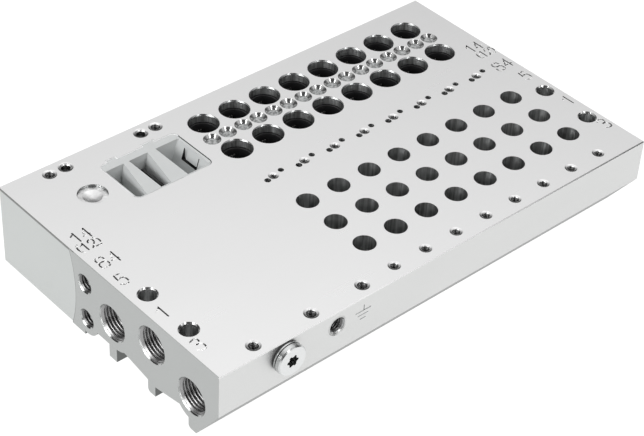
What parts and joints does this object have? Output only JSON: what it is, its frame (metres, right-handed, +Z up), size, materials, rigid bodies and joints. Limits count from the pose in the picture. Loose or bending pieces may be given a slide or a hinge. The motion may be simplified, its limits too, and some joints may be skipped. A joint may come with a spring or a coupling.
{
  "type": "valve manifold rail",
  "caption": "Aluminium manifold rail for slim pneumatic valves, with threaded end ports, drilled valve stations, electrical sockets and a plug-in connector housing.",
  "frame": {"origin": "middle of the whole part's box on its base", "axes": "+X along the rail to the right, +Y from the front face to the back, +Z up"},
  "size_m": [0.1446, 0.0908, 0.0238],
  "materials": {
    "rail": "milled and brushed",
    "cover": "satin",
    "board": "solder mask",
    "lamp": "plain",
    "housing": "fine moulded grain",
    "contact_strip": "matt",
    "recess_plug": "pressed",
    "screw_plug": "turned",
    "seal": "matt",
    "contact": "tinned",
    "light_guide": "clear, frosted",
    "socket": "moulded"
  },
  "bodies": {
    "root": {"manifold_rail": "rail", "left_end_cover": "cover", "right_end_cover": "cover", "circuit_board": "board", "indicator_lamps": "lamp", "connector_housing": "housing", "contact_strip": "contact_strip", "recess_plug": "recess_plug", "screw_plug": "screw_plug", "sealing_ring": "seal", "socket_contacts": "contact", "light_guide_1": "light_guide", "valve_socket_front_1": "socket", "valve_socket_rear_1": "socket", "light_guide_2": "light_guide", "valve_socket_front_2": "socket", "valve_socket_rear_2": "socket", "light_guide_3": "light_guide", "valve_socket_front_3": "socket", "valve_socket_rear_3": "socket", "light_guide_4": "light_guide", "valve_socket_front_4": "socket", "valve_socket_rear_4": "socket", "light_guide_5": "light_guide", "valve_socket_front_5": "socket", "valve_socket_rear_5": "socket", "light_guide_6": "light_guide", "valve_socket_front_6": "socket", "valve_socket_rear_6": "socket", "light_guide_7": "light_guide", "valve_socket_front_7": "socket", "valve_socket_rear_7": "socket", "light_guide_8": "light_guide", "valve_socket_front_8": "socket", "valve_socket_rear_8": "socket"}
  },
  "joints": []
}
